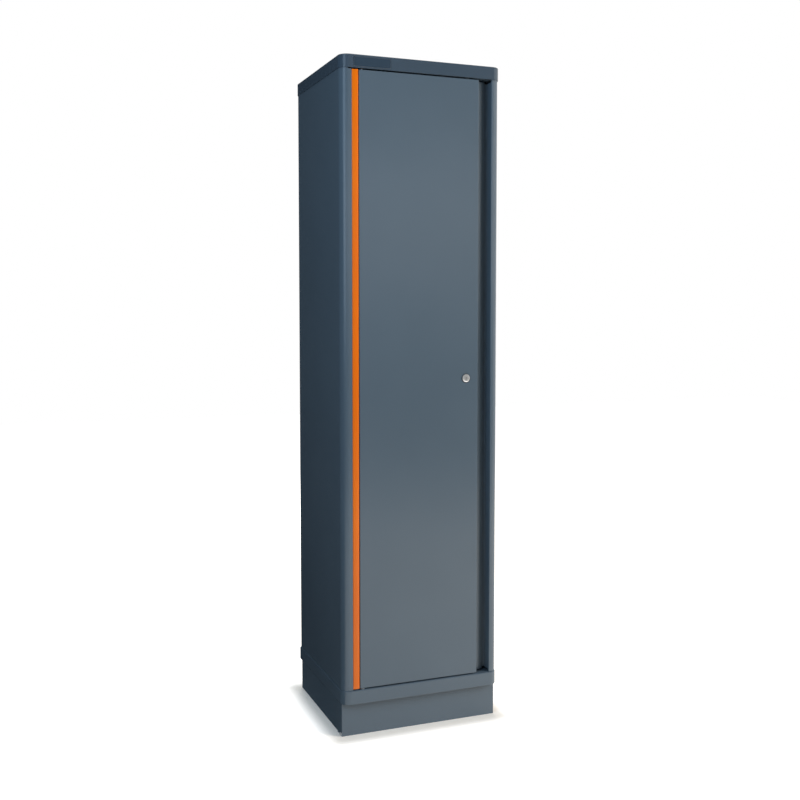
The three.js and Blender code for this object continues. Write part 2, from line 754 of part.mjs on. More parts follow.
// A rod that points up; its slotted head takes one stud of the cam
function lockRod(length) {
  const slotZ = -STUD_REACH;
  const low = slotZ - STUD_SLOT - ROD_HEAD_WALL;
  const high = slotZ + STUD_SLOT + ROD_HEAD_WALL;
  const near = ROD_NEAR - ROD_HEAD_WALL;
  const far = ROD_FAR + ROD_HEAD_WALL;
  const shape = polygon([
    [near, low],
    [far, low],
    [far, high],
    [ROD_LEFT + ROD_WIDTH, high],
    [ROD_LEFT + ROD_WIDTH, length - ROD_WIDTH / 4],
    [ROD_LEFT + (3 * ROD_WIDTH) / 4, length],
    [ROD_LEFT + ROD_WIDTH / 4, length],
    [ROD_LEFT, length - ROD_WIDTH / 4],
    [ROD_LEFT, high],
    [near, high],
  ]);
  const slot = rectangle(ROD_NEAR, ROD_FAR, slotZ - STUD_SLOT, slotZ + STUD_SLOT);
  return cut(sweepY(shape, ROD_START, ROD_END), sweepY(slot, ROD_START - 1, ROD_END + 1));
}

// A loop round a rod, fixed to the side of the finger-pull channel
function rodGuide(reach) {
  const gap = ROD_PLAY + GUIDE_SHEET / 2;
  const foot = CHANNEL_X - LOCK_X - DOOR_SHEET / 2 - TOUCH - GUIDE_SHEET / 2;
  const front = ROD_START - gap;
  const back = ROD_END + gap;
  const path = [
    [foot, front - GUIDE_FOOT],
    [foot, front, FOLD],
    [reach - gap, front, FOLD],
    [reach - gap, back, FOLD],
    [foot, back],
  ];
  return sweepZ(foldedSheet(path, GUIDE_SHEET), -GUIDE_LENGTH / 2, GUIDE_LENGTH / 2);
}

// Door catches
const CATCH_FRONT = PULL_DEPTH + DOOR_SHEET + TOUCH;
const CATCH_BACK = STOP_DEPTH - TOUCH;

function magnet() {
  const half = MAGNET_WIDTH / 2;
  return block(-half, half, CATCH_FRONT, CATCH_BACK, -MAGNET_HEIGHT / 2, MAGNET_HEIGHT / 2);
}

function buffer() {
  return rod(BUFFER_RADIUS, CATCH_FRONT, CATCH_BACK);
}

// Shelves and their supports, drawn for the left wall
function slotHeights() {
  const span = CEILING_Z - DECK_Z - 2 * SLOT_START;
  const count = Math.floor(span / SLOT_PITCH) + 1;
  return Array.from({ length: count }, (_, i) => DECK_Z + SLOT_START + i * SLOT_PITCH);
}

function shelfUpright() {
  const half = UPRIGHT_SHEET / 2;
  const y = UPRIGHT_WIDTH / 2 - half;
  const path = [[-UPRIGHT_DEPTH, -y], [-half, -y, FOLD], [-half, y, FOLD], [-UPRIGHT_DEPTH, y]];
  const channel = sweepZ(foldedSheet(path, UPRIGHT_SHEET), DECK_Z + TOUCH, CEILING_Z - TOUCH);
  const slots = slotHeights().map((z) =>
    block(-EDGE, EDGE, -SLOT_WIDTH / 2, SLOT_WIDTH / 2, z - SLOT_HEIGHT / 2, z + SLOT_HEIGHT / 2)
  );
  return cut(channel, join(...slots));
}

function shelfClip() {
  const half = CLIP_SHEET / 2;
  const behind = -UPRIGHT_SHEET - TOUCH;
  const shape = polygon([
    [TOUCH, -CLIP_DROP],
    [TOUCH + CLIP_SHEET, -CLIP_DROP],
    [TOUCH + CLIP_SHEET, -half],
    [CLIP_LEDGE, -half],
    [CLIP_LEDGE, half],
    [behind, half],
    [behind, CLIP_HOOK],
    [behind - CLIP_SHEET, CLIP_HOOK],
    [behind - CLIP_SHEET, -half],
    [TOUCH, -half],
  ]);
  return sweepY(shape, -CLIP_WIDTH / 2, CLIP_WIDTH / 2);
}

function shelf() {
  const half = SHELF_SHEET / 2;
  const front = SHELF_FRONT + half;
  const back = SHELF_BACK - half;
  const path = [
    [front + SHELF_RETURN, half],
    [front, half, FOLD],
    [front, SHELF_HEIGHT - half, FOLD],
    [back, SHELF_HEIGHT - half, FOLD],
    [back, half, FOLD],
    [back - SHELF_RETURN, half],
  ];
  const cheek = (x) =>
    block(x, x + SHELF_SHEET, front + FOLD, back - FOLD, 0, SHELF_HEIGHT - half);
  return join(
    sweepX(foldedSheet(path, SHELF_SHEET), -SHELF_X, SHELF_X),
    cheek(-SHELF_X),
    cheek(SHELF_X - SHELF_SHEET)
  );
}

// Assembly
function piece(parent, name, body, material, position = [0, 0, 0]) {
  const { vertProperties, triVerts } = body.getMesh();
  const geometry = new THREE.BufferGeometry();
  geometry.setAttribute("position", new THREE.BufferAttribute(vertProperties, 3));
  geometry.setIndex(new THREE.BufferAttribute(triVerts, 1));
  geometry.computeVertexNormals();
  const mesh = new THREE.Mesh(geometry, material);
  mesh.name = name;
  mesh.position.set(...position);
  parent.add(mesh);
  return mesh;
}

function group(parent, name, position = [0, 0, 0]) {
  const node = new THREE.Group();
  node.name = name;
  node.position.set(...position);
  parent.add(node);
  return node;
}

const locker = new THREE.Group();
locker.name = "tool_chest_side_locker";

const carcass = group(locker, "carcass");
piece(carcass, "top_cap", topCap(), GREY_PAINT);
piece(carcass, "ceiling_panel", ceilingPanel(), GREY_PAINT);
piece(carcass, "left_wall", leftWall(), GREY_PAINT);
piece(carcass, "right_wall", rightWall(), GREY_PAINT);
piece(carcass, "back_panel", backPanel(), GREY_PAINT);
piece(carcass, "trim_strip", trimStrip(), ORANGE_PAINT);
piece(carcass, "base_tray", baseTray(), GREY_PAINT);
piece(carcass, "plinth_front", plinthFront(), GREY_PAINT);
piece(carcass, "plinth_left", plinthSide(-1), GREY_PAINT);
piece(carcass, "plinth_right", plinthSide(1), GREY_PAINT);
piece(carcass, "plinth_back", plinthBack(), GREY_PAINT);
piece(carcass, "upper_pivot_bush", pivotBush(WALL_SHEET), NYLON, [PIVOT_X, PIVOT_Y, CEILING_Z]);
piece(carcass, "lower_pivot_pin", lowerPin(), ZINC, [PIVOT_X, PIVOT_Y, DECK_Z]);

const catchX = (PULL_HEM_X + DOOR_END) / 2 - DOOR_SHEET;
piece(carcass, "upper_magnet", magnet(), BLACK_PLASTIC, [catchX, FACE_Y, DOOR_TOP - MAGNET_END]);
piece(carcass, "lower_magnet", magnet(), BLACK_PLASTIC, [catchX, FACE_Y, DOOR_BOTTOM + MAGNET_END]);

const clipSeat = CLIP_SHEET / 2 + TOUCH;
const uprightBody = shelfUpright();
const clipBody = shelfClip();
const shelfBody = shelf();
const sides = [["left", -1], ["right", 1]];
const rows = [["front", FRONT_UPRIGHT_Y], ["rear", REAR_UPRIGHT_Y]];
for (const [sideName, side] of sides) {
  for (const [rowName, y] of rows) {
    const post = group(carcass, `${sideName}_${rowName}_support`, [side * UPRIGHT_X, y, 0]);
    post.rotation.z = side > 0 ? Math.PI : 0;
    piece(post, `${sideName}_${rowName}_upright`, uprightBody, ZINC);
    SHELF_SLOTS.forEach((slot, i) => {
      piece(post, `shelf_${i + 1}_clip_${sideName}_${rowName}`, clipBody, ZINC, [0, 0, slotHeights()[slot]]);
    });
  }
}
SHELF_SLOTS.forEach((slot, i) => {
  piece(carcass, `shelf_${i + 1}`, shelfBody, GREY_PAINT, [0, 0, slotHeights()[slot] + clipSeat]);
});

const door = group(locker, "door");
piece(door, "door_skin", doorSkin(), GREY_PAINT);
piece(door, "door_stiffener", doorStiffener(), GREY_PAINT);
piece(door, "upper_pivot_pin", upperPin(), ZINC, [PIVOT_X, PIVOT_Y, DOOR_TOP - TOUCH]);
piece(door, "lower_pivot_bush", pivotBush(DOOR_SHEET), NYLON, [PIVOT_X, PIVOT_Y, DOOR_BOTTOM + TOUCH]);
piece(door, "upper_buffer", buffer(), RUBBER, [catchX, FACE_Y, DOOR_TOP - BUFFER_END]);
piece(door, "lower_buffer", buffer(), RUBBER, [catchX, FACE_Y, DOOR_BOTTOM + BUFFER_END]);

const lock = group(door, "lock", [LOCK_X, FACE_Y, LOCK_HEIGHT]);
const upperRodLength = CEILING_Z - ROD_REST_GAP - LOCK_HEIGHT;
const lowerRodLength = LOCK_HEIGHT - DECK_Z - ROD_REST_GAP;
const upperFar = upperRodLength - GUIDE_END;
const lowerFar = lowerRodLength - GUIDE_END;
piece(lock, "lock_escutcheon", escutcheon(), BLACK_PLASTIC);
piece(lock, "lock_body", lockBody(), CHROME);
piece(lock, "lock_nut", lockNut(), ZINC);
piece(lock, "upper_guide_near", rodGuide(ROD_LEFT), ZINC, [0, 0, GUIDE_NEAR]);
piece(lock, "upper_guide_far", rodGuide(ROD_LEFT), ZINC, [0, 0, upperFar]);
piece(lock, "lower_guide_near", rodGuide(-ROD_LEFT - ROD_WIDTH), ZINC, [0, 0, -GUIDE_NEAR]);
piece(lock, "lower_guide_far", rodGuide(-ROD_LEFT - ROD_WIDTH), ZINC, [0, 0, -lowerFar]);

const turning = group(lock, "turning_lock");
piece(turning, "lock_barrel", lockBarrel(), CHROME);
piece(turning, "lock_cam", lockCam(), ZINC);
piece(turning, "lock_spacer", lockSpacer(), ZINC);
piece(turning, "lock_tongue", lockTongue(), ZINC);
piece(turning, "lock_screw", lockScrew(), ZINC);

piece(lock, "upper_rod", lockRod(upperRodLength), ZINC);
const lowerRod = piece(lock, "lower_rod", lockRod(lowerRodLength), ZINC);
lowerRod.rotation.y = Math.PI;

export default locker;
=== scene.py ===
"""Tall steel side locker for a tool chest, with a full-height finger pull and a three-point lock.

The sheet parts are modelled as folded sheet: a bend line is drawn, swept, folded with
rounded bends and then given its gauge. Sizes of the locker and of its surface patterns are in
millimetres, and those of the studio in metres.
"""

import math

import bmesh
import bpy
from mathutils import Matrix, Vector


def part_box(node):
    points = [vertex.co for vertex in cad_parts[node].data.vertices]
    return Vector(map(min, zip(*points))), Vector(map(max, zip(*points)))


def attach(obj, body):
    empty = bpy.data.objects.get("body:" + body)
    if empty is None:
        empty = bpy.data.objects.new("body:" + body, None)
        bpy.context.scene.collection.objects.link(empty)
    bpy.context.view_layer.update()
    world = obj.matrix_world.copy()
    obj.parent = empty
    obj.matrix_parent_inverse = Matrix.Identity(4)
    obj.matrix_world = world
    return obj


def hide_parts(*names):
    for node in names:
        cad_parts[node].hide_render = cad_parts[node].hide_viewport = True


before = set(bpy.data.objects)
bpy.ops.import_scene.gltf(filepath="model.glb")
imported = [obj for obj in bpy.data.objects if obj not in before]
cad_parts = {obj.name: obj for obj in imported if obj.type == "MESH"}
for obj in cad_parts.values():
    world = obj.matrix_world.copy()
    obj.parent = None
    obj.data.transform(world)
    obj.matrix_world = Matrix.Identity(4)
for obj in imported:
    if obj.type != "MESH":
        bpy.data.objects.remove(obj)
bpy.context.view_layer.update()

MM = 0.001
# How close two places count as the same, and how far past a fold its faces are still looked for
NEAR = 0.01
BESIDE = 1


def span(node):
    """Lowest and highest corner of a solid in millimetres, to a hundredth."""
    return [[round(value / MM, 2) for value in corner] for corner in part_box(node)]


# Sizes that the solids set
cap_low, cap_high = span("top_cap")
tray_low, tray_high = span("base_tray")
left_high = span("left_wall")[1]
right_low, right_high = span("right_wall")
strip_low, strip_high = span("trim_strip")
door_low, door_high = span("door_skin")
lock_low, lock_high = span("lock_body")
WIDTH = cap_high[0] - cap_low[0]
DEPTH = cap_high[1] - cap_low[1]
HEIGHT = cap_high[2]
CAP_BOTTOM = cap_low[2]
TRAY_BOTTOM = tray_low[2]
DECK = tray_high[2]
WALL_X = right_high[0]
FACE_Y = right_low[1]
REAR_Y = right_high[1]
WALL_LOW = right_low[2]
WALL_HIGH = right_high[2]
STRIP_LEFT = strip_low[0]
STRIP_RIGHT = strip_high[0]
STRIP_DEPTH = strip_high[1] - strip_low[1]
DOOR_LEFT = door_low[0]
DOOR_LOW = door_low[2]
DOOR_HIGH = door_high[2]
CHANNEL_END = door_high[0]
LOCK_X = (lock_low[0] + lock_high[0]) / 2
LOCK_Z = (lock_low[2] + lock_high[2]) / 2
BACK_FACE = span("back_panel")[1][1]

# Cap and base tray
CAP_GAUGE = 1.5
CAP_CORNER = 28
CORNER_STEPS = 20
REAR_CORNER = 6
REAR_STEPS = 3
CAP_EDGE = 2
EDGE_STEPS = 5
CAP_LIP = 32

# Sheet of the walls and the door
GAUGE = 1.2
HALF = GAUGE / 2
BEND = 1.6
BEND_STEPS = 8
WIDE_BEND = 5

# Broken edges, with angles in degrees
BROKEN_EDGE = 0.35
BREAK_STEPS = 2
SHARP_ANGLE = 40
FLAT_ANGLE = 0.5

# Walls and posts
WALL_CORNER = 24
REAR_FLANGE = 25
STOP_DEPTH = 33
HEM = 14
PULL_WALL = 225
STOP_EDGE = right_low[0] + HALF
HINGE_STOP_EDGE = left_high[0] - HALF
END_RELIEF = 7
SLIT_START = -232
SLIT_HEIGHT = 3

# Trim strip in its groove
GROOVE_PLAY = 0.3
STRIP_CROWN = 0.8
STRIP_ROUND = 1.4
STRIP_CURVE = 42

# Door
DOOR_LIP = 183
LIP_OVERHANG = 12
LIP_THICKNESS = 7
DOOR_DEPTH = 22
CHANNEL_ROOT = 19
CHANNEL_DEPTH = 27
CHANNEL_RETURN = 3.5
DOOR_REAR_FLANGE = 18
END_PLATE_INSET = 0.9
END_PLATE_PLAY = 0.3
END_PLATE_LAP = 2

# Lock
LOCK_SHANK = 9.6
LOCK_BACK = 20
LOCK_HEAD = 12
BARREL_HOLE = 6.7
TURNED_STEPS = 48

# Slot for the lock's tongue in the hem of the pull post
STRIKE_FRONT = 35.5
STRIKE_BACK = 39.5
STRIKE_LOW = 1020
STRIKE_HIGH = 1078

# Hole for the lower lock rod in the base tray
ROD_HOLE_LEFT = 121.5
ROD_HOLE_RIGHT = 135.5
ROD_HOLE_FRONT = -200.5
ROD_HOLE_BACK = -195.5

# Bare plate on the cap
PLATE_LEFT = -216
PLATE_WIDTH = 114
PLATE_LOW = 1965.5
PLATE_HIGH = 1993.5
PLATE_THICK = 0.9
PLATE_BORDER = 1
PLATE_SINK = 0.1
PLATE_EDGE = 0.3
FIELD_RISE = 0.15
FIELD_EDGE = 0.1

# Rivets of the back panel
RIVET_HEAD = 3.2
RIVET_RISE = 1.1
RIVET_COLUMN = 245
RIVET_COUNT = 9
RIVET_LOW = 190
RIVET_HIGH = 1920

# Surface patterns, and the stretch of a noise that they use
CLOUD_SIZE = 350
PEEL_SIZE = 5
PEEL_DEPTH = 0.4
MOULD_DEPTH = 0.2
MOULD_STRENGTH = 0.15
NOISE_LOW = 0.3
NOISE_HIGH = 0.7

# Studio levels
AMBIENT = 0.11
AMBIENT_TINT = "#E4F2FF"
FLOOR_COLOUR = "#F4ECE0"
FLOOR_HALF = 9.0
# Glow of the floor to the camera: low at the footprint and full a little way out, so the dim ring
# round the base is painted shade
FLOOR_GLOW = 0.12
FLOOR_SHADE_REACH = 0.08
FLOOR_MIRRORED = 0.6
KEY_POWER = 191
LEFT_POWER = 17
EDGE_POWER = 24
BACK_POWER = 90
TOP_POWER = 35
COOL_TINT = "#C8E5FF"
KEY_TINT = "#FFF9F5"

# Dark flags: distances in metres, bearings in degrees from the front towards the right
FLAG_DISTANCE = 4.0
FLAG_LEVEL = 0.02
FLAG_INNER = 0.05
FLAG_LIFT = 0.002
FLAG_TOP = 5.0
FLAG_STEPS = 48
FRONT_WINDOW_LOW = 1.4
FRONT_WINDOW_HIGH = 2.3
FRONT_FLAG_EDGE = 55
REAR_FLAG_START = 150
LEFT_CLOTH_START = 200
LEFT_CLOTH_STOP = 300
LEFT_CLOTH_INNER = 0.4
LEFT_CLOTH_REACH = 2.5

# Camera: place in metres, angles in degrees
CAMERA_LENS = 46.79
CAMERA_SENSOR = 36
CAMERA_SHIFT = -0.0375
CAMERA_PLACE = (-1.1925, -3.0868, 1.2723)
CAMERA_DOWN = 3.368
CAMERA_RIGHT = 21.372


# Colours and nodes
def linear(code):
    """Linear RGBA of an sRGB hex colour."""
    values = [int(code[i:i + 2], 16) / 255 for i in (1, 3, 5)]
    return [v / 12.92 if v <= 0.04045 else ((v + 0.055) / 1.055) ** 2.4 for v in values] + [1]


def add_node(tree, kind, links=None, inputs=None, **settings):
    """One node with its settings, its input values and its incoming links."""
    node = tree.nodes.new(kind)
    for name, value in settings.items():
        setattr(node, name, value)
    for name, value in (inputs or {}).items():
        node.inputs[name].default_value = value
    for name, source in (links or {}).items():
        tree.links.new(source, node.inputs[name])
    return node


def cleared_tree(owner):
    """The node tree of a material or a world, with nothing in it."""
    owner.use_nodes = True
    owner.node_tree.nodes.clear()
    return owner.node_tree


def new_surface(name, **inputs):
    """A material with one surface shader; returns the material, its tree and the shader."""
    material = bpy.data.materials.new(name)
    tree = cleared_tree(material)
    shader = add_node(tree, "ShaderNodeBsdfPrincipled", inputs=inputs)
    add_node(tree, "ShaderNodeOutputMaterial", {"Surface": shader.outputs["BSDF"]})
    return material, tree, shader


def vary(tree, shader, tone, dark, light, skin, rough_low, rough_high, strength=0, depth=0):
    """Lets the tone noise move the colour, and the skin noise the roughness and the height."""
    colour = add_node(tree, "ShaderNodeValToRGB", {"Fac": tone.outputs["Fac"]})
    first, last = colour.color_ramp.elements
    first.position = NOISE_LOW
    first.color = linear(dark)
    last.position = NOISE_HIGH
    last.color = linear(light)
    tree.links.new(colour.outputs["Color"], shader.inputs["Base Color"])
    rough = add_node(tree, "ShaderNodeMapRange", {"Value": skin.outputs["Fac"]},
                     {"From Min": NOISE_LOW, "From Max": NOISE_HIGH,
                      "To Min": rough_low, "To Max": rough_high})
    tree.links.new(rough.outputs["Result"], shader.inputs["Roughness"])
    if depth:
        bump = add_node(tree, "ShaderNodeBump", {"Height": skin.outputs["Fac"]},
                        {"Strength": strength, "Distance": depth * MM})
        tree.links.new(bump.outputs["Normal"], shader.inputs["Normal"])


def powder_coat(name, dark, light, rough_low, rough_high, peel):
    """Sprayed and baked powder: a satin skin with a slight orange peel and a faint cloudiness."""
    material, tree, shader = new_surface(name, IOR=1.5)
    place = add_node(tree, "ShaderNodeTexCoord").outputs["Object"]
    cloud = add_node(tree, "ShaderNodeTexNoise", {"Vector": place},
                     {"Scale": 1 / (CLOUD_SIZE * MM), "Detail": 2.0, "Roughness": 0.5})
    # Real peel is about 1 mm across; it is drawn at 5 mm so that it shows at all
    skin = add_node(tree, "ShaderNodeTexNoise", {"Vector": place},
                    {"Scale": 1 / (PEEL_SIZE * MM), "Detail": 1.0, "Roughness": 0.4})
    vary(tree, shader, cloud, dark, light, skin, rough_low, rough_high, peel, PEEL_DEPTH)
    return material


def plated_metal(name, dark, light, rough_low, rough_high, grain, stretch):
    """Plated steel: a metal skin whose tone and gloss vary along fine drawn or tumbled marks."""
    material, tree, shader = new_surface(name, Metallic=1.0)
    place = add_node(tree, "ShaderNodeTexCoord").outputs["Object"]
    drawn = add_node(tree, "ShaderNodeMapping", {"Vector": place}, {"Scale": stretch})
    # Real marks are a few tenths of a millimetre wide; they are drawn coarser so that they show
    marks = add_node(tree, "ShaderNodeTexNoise", {"Vector": drawn.outputs["Vector"]},
                     {"Scale": 1 / (grain * MM), "Detail": 3.0, "Roughness": 0.6})
    vary(tree, shader, marks, dark, light, marks, rough_low, rough_high)
    return material


def moulded(name, dark, light, ior, rough_low, rough_high, grain):
    """Moulded plastic, rubber or smooth enamel: an even colour with a fine skin texture."""
    material, tree, shader = new_surface(name, IOR=ior)
    place = add_node(tree, "ShaderNodeTexCoord").outputs["Object"]
    # Real mould texture is a few tenths of a millimetre wide; it is drawn coarser so that it shows
    texture = add_node(tree, "ShaderNodeTexNoise", {"Vector": place},
                       {"Scale": 1 / (grain * MM), "Detail": 2.0, "Roughness": 0.6})
    vary(tree, shader, texture, dark, light, texture, rough_low, rough_high, MOULD_STRENGTH,
         MOULD_DEPTH)
    return material


# Finishes
# Blue-grey powder coat: satin, so the floor shows in the door as a soft pale zone
GREY_COAT = powder_coat("blue_grey_powder_coat", "#515F6A", "#55636E", 0.22, 0.27, 0.03)
# The same coat a shade deeper, used on the whole cap
DEEP_COAT = powder_coat("deep_blue_grey_powder_coat", "#3E4C57", "#424F5B", 0.22, 0.27, 0.03)
# Orange powder coat: the same skin in a strong colour, a little duller on the thin strip
ORANGE_COAT = powder_coat("orange_powder_coat", "#DC6500", "#E46F02", 0.30, 0.36, 0.03)
# Zinc plate: pale bluish metal, cloudy from tumbling
ZINC = plated_metal("zinc_plated_steel", "#B4B8BB", "#CBCFD2", 0.42, 0.55, 6, (1, 1, 0.25))
# Satin chrome: bright cool metal whose fine blasting blurs what it mirrors
CHROME = plated_metal("satin_chrome_plated_brass", "#DADCDD", "#EDEEEF", 0.34, 0.42, 3, (1, 1, 1))
# Black ABS: dark moulded plastic with a dull sheen
BLACK_PLASTIC = moulded("moulded_black_abs", "#141517", "#1B1C1F", 1.53, 0.42, 0.55, 1.5)
# Black nylon: dark and waxy
NYLON = moulded("moulded_black_nylon", "#27282A", "#2E2F31", 1.53, 0.40, 0.50, 2)
# Rubber: matt near-black
RUBBER = moulded("moulded_rubber", "#17181A", "#202123", 1.52, 0.70, 0.82, 1.5)
# Enamel on the bare plate: a smooth dark slate skin
PLATE_DARK = moulded("dark_slate_enamel", "#2C3B48", "#31414F", 1.5, 0.30, 0.38, 3)
# The rim of that plate: anodised metal, a shade brighter than the paint around it
PLATE_RIM = plated_metal("bright_anodised_aluminium", "#6D7780", "#7B858E", 0.30, 0.40, 4,
                         (0.1, 1, 1))

FINISH_OF_SLOT = {
    "grey_paint": GREY_COAT,
    "orange_paint": ORANGE_COAT,
    "zinc": ZINC,
    "chrome": CHROME,
    "black_plastic": BLACK_PLASTIC,
    "nylon": NYLON,
    "rubber": RUBBER,
}


# Sheet metal work
def round_edges(bm, edges, reach, steps):
    """Rounds edges with arcs that start this far from them."""
    bmesh.ops.bevel(bm, geom=edges, offset=reach * MM, offset_type="OFFSET", affect="EDGES",
                    segments=steps, profile=0.5, material=-1)


def bend_edges(bm, x, y):
    """The upright edges that stand on one point of the bend line."""
    found = []
    for edge in bm.edges:
        ends = [v.co / MM for v in edge.verts]
        if all(abs(c.x - x) < NEAR and abs(c.y - y) < NEAR for c in ends):
            found.append(edge)
    return found


def folded_sheet(path, low, high):
    """A sheet swept up from low to high along a bend line of (x, y, bend radius) points."""
    bm = bmesh.new()
    corners = [bm.verts.new((x * MM, y * MM, low * MM)) for x, y, radius in path]
    line = [bm.edges.new(pair) for pair in zip(corners, corners[1:])]
    swept = bmesh.ops.extrude_edge_only(bm, edges=line)["geom"]
    raised = [item for item in swept if isinstance(item, bmesh.types.BMVert)]
    bmesh.ops.translate(bm, verts=raised, vec=(0, 0, (high - low) * MM))
    for before, here, after in zip(path, path[1:], path[2:]):
        x, y, radius = here
        way_in = Vector((x - before[0], y - before[1]))
        way_out = Vector((after[0] - x, after[1] - y))
        reach = radius * math.tan(way_in.angle(way_out) / 2)
        steps = BEND_STEPS if radius < WIDE_BEND else 2 * BEND_STEPS
        round_edges(bm, bend_edges(bm, x, y), reach, steps)
    return bm


def slice_at(bm, axis, *places, where=None):
    """Cuts new edges at these places along an axis, across all the faces or those that pass a test."""
    normal = Vector((0, 0, 0))
    normal[axis] = 1
    for place in places:
        faces = [f for f in bm.faces if where is None or where(f.calc_center_median() / MM)]
        parts = [item for f in faces for item in f.verts[:] + f.edges[:] + [f]]
        bmesh.ops.bisect_plane(bm, geom=list(dict.fromkeys(parts)), dist=1e-7,
                               plane_co=normal * place * MM, plane_no=normal)


def cut_away(bm, test):
    """Deletes the faces whose middle, in millimetres, passes the test."""
    waste = [f for f in bm.faces if test(f.calc_center_median() / MM)]
    bmesh.ops.delete(bm, geom=waste, context="FACES")


def flat_plate(bm, low, high):
    """Adds a level rectangle between two corners at one height."""
    low = Vector(low)
    high = Vector(high)
    made = bmesh.ops.create_grid(bm, x_segments=1, y_segments=1, size=0.5)["verts"]
    size = high - low
    bmesh.ops.scale(bm, verts=made, vec=(size.x * MM, size.y * MM, 1))
    bmesh.ops.translate(bm, verts=made, vec=(low + high) / 2 * MM)


def block(low, high):
    """A block between two corners."""
    bm = bmesh.new()
    low = Vector(low)
    high = Vector(high)
    made = bmesh.ops.create_cube(bm, size=1)["verts"]
    bmesh.ops.scale(bm, verts=made, vec=(high - low) * MM)
    bmesh.ops.translate(bm, verts=made, vec=(low + high) / 2 * MM)
    return bm


def soft_block(low, high, edge):
    """A block between two corners with all its edges rounded."""
    bm = block(low, high)
    round_edges(bm, bm.edges[:], edge, BREAK_STEPS)
    return bm


def new_object(name, bm, finish):
    """An object at the origin that holds the mesh, placed in the scene."""
    mesh = bpy.data.meshes.new(name)
    bm.to_mesh(mesh)
    bm.free()
    mesh.materials.append(finish)
    made = bpy.data.objects.new(name, mesh)
    bpy.context.scene.collection.objects.link(made)
    return made


def put(name, bm, finish, body, replaced=(), gauge=0, side=0, edge=BROKEN_EDGE):
    """Makes a piece: the gauge of the sheet, a small break on cut edges and even shading."""
    piece = new_object(name, bm, finish)
    piece.data.shade_smooth()
    if gauge:
        wall = piece.modifiers.new("gauge", "SOLIDIFY")
        wall.thickness = gauge * MM
        wall.offset = side
        wall.use_even_offset = True
    if edge:
        broken = piece.modifiers.new("broken edges", "BEVEL")
        broken.width = edge * MM
        broken.segments = BREAK_STEPS
        broken.limit_method = "ANGLE"
        broken.angle_limit = math.radians(SHARP_ANGLE)
    piece.modifiers.new("even shading", "WEIGHTED_NORMAL").keep_sharp = True
    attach(piece, body)
    if replaced:
        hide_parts(*replaced)


# Cap and tray, two lids of one shape
def upright_edges(bm):
    """The edges that don't lie level."""
    return [e for e in bm.edges if abs(e.verts[0].co.z - e.verts[1].co.z) > NEAR * MM]


def level_face(bm, height):
    """The largest face at one height."""
    flat = [f for f in bm.faces if abs(f.calc_center_median().z / MM - height) < NEAR]
    return max(flat, key=lambda f: f.calc_area())


def rounded_lid(low, high):
    """A closed box as wide and deep as the locker, with its two front corners rounded."""
    inset = CAP_GAUGE / 2
    x = WIDTH / 2 - inset
    y = DEPTH / 2 - inset
    bm = block((-x, -y, low + inset), (x, y, high - inset))
    front = [e for e in upright_edges(bm) if e.verts[0].co.y < 0]
    round_edges(bm, front, CAP_CORNER - inset, CORNER_STEPS)
    return bm


def round_rim(bm, height):
    """Folds the sheet round all the edges of the level face at this height."""
    round_edges(bm, level_face(bm, height).edges[:], CAP_EDGE, EDGE_STEPS)


def top_cap():
    """Lid with an open underside and tight rear corners."""
    cap = rounded_lid(CAP_BOTTOM, HEIGHT)
    rear = [e for e in upright_edges(cap) if e.verts[0].co.y > 0]
    round_edges(cap, rear, REAR_CORNER, REAR_STEPS)
    under = level_face(cap, CAP_BOTTOM + CAP_GAUGE / 2)
    mouth = under.verts[:]
    bmesh.ops.delete(cap, geom=[under], context="FACES_ONLY")
    bmesh.ops.translate(cap, verts=mouth, vec=(0, 0, -CAP_GAUGE / 2 * MM))
    round_rim(cap, HEIGHT - CAP_GAUGE / 2)
    put("top_cap_sheet", cap, DEEP_COAT, "carcass", ["top_cap"], CAP_GAUGE)


def base_tray():
    """Rail under the door: its top is the locker's floor, and its underside is open inside a lip."""
    tray = rounded_lid(TRAY_BOTTOM, DECK)
    lip_level = TRAY_BOTTOM + CAP_GAUGE / 2
    deck_level = DECK - CAP_GAUGE / 2
    under = level_face(tray, lip_level)
    bmesh.ops.inset_region(tray, faces=[under], thickness=CAP_LIP * MM, use_even_offset=True)
    bmesh.ops.delete(tray, geom=[under], context="FACES_ONLY")
    lower_rim = [e for e in tray.edges if len(e.link_faces) == 2
                 and all(abs(v.co.z / MM - lip_level) < NEAR for v in e.verts)
                 and any(abs(f.normal.z) < 0.1 for f in e.link_faces)]
    round_edges(tray, lower_rim, CAP_EDGE, EDGE_STEPS)
    round_rim(tray, deck_level)

    def on_deck(c):
        return c.z > deck_level - NEAR

    def over_rod(c):
        return on_deck(c) and ROD_HOLE_LEFT < c.x < ROD_HOLE_RIGHT

    def rod_hole(c):
        return over_rod(c) and ROD_HOLE_FRONT < c.y < ROD_HOLE_BACK

    slice_at(tray, 0, ROD_HOLE_LEFT, ROD_HOLE_RIGHT, where=on_deck)
    slice_at(tray, 1, ROD_HOLE_FRONT, ROD_HOLE_BACK, where=over_rod)
    cut_away(tray, rod_hole)
    put("base_tray_sheet", tray, GREY_COAT, "carcass", ["base_tray"], CAP_GAUGE)


# Places along the bend lines of the walls and the door, at the middle of the sheet
post_y = FACE_Y + HALF
stop_y = FACE_Y + STOP_DEPTH + HALF
hem_y = FACE_Y + STOP_DEPTH + HEM
rear_y = REAR_Y - HALF
side_x = WALL_X - HALF
pull_x = PULL_WALL + HALF
groove_x = STRIP_LEFT - GROOVE_PLAY - HALF


